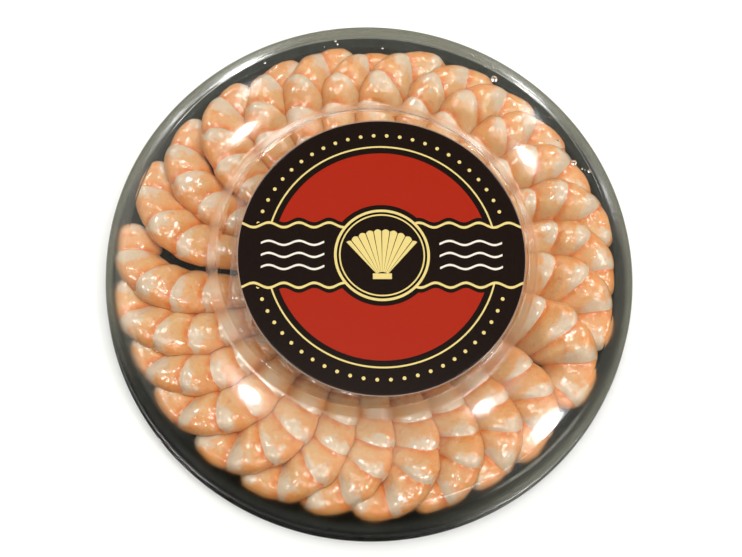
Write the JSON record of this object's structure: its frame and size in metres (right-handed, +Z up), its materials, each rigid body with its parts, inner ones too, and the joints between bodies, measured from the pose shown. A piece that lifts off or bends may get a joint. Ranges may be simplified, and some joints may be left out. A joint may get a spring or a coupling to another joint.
{
  "type": "sealed prawn cocktail pack",
  "caption": "Round shut pack: a black tray under a clear domed lid with a round label, holding a ring of curled cooked prawns and a flat sauce sachet.",
  "frame": {"origin": "middle of the underside, on the surface that the pack stands on", "axes": "+Z up through the middle of the lid, +Y towards the top of the label, +X to its right"},
  "size_m": [0.2, 0.2, 0.0361],
  "materials": {
    "black_tray": "smooth black thermoformed plastic",
    "clear_lid": "clear glossy thermoformed plastic",
    "printed_label": "satin coated paper, dark brown with red fields and pale gold lines",
    "sachet_film": "clear creased film over a pale red sauce",
    "cooked_prawn": "wet cooked flesh, white segments with orange bands"
  },
  "bodies": {
    "root": {"tray": "black_tray", "lid": "clear_lid", "label": "printed_label", "sauce_sachet": "sachet_film", "prawn_01": "cooked_prawn", "prawn_02": "cooked_prawn", "prawn_03": "cooked_prawn", "prawn_04": "cooked_prawn", "prawn_05": "cooked_prawn", "prawn_06": "cooked_prawn", "prawn_07": "cooked_prawn", "prawn_08": "cooked_prawn", "prawn_09": "cooked_prawn", "prawn_10": "cooked_prawn", "prawn_11": "cooked_prawn", "prawn_12": "cooked_prawn", "prawn_13": "cooked_prawn", "prawn_14": "cooked_prawn", "prawn_15": "cooked_prawn", "prawn_16": "cooked_prawn", "prawn_17": "cooked_prawn", "prawn_18": "cooked_prawn", "prawn_19": "cooked_prawn", "prawn_20": "cooked_prawn", "prawn_21": "cooked_prawn", "prawn_22": "cooked_prawn", "prawn_23": "cooked_prawn", "prawn_24": "cooked_prawn", "prawn_25": "cooked_prawn", "prawn_26": "cooked_prawn"}
  },
  "joints": []
}
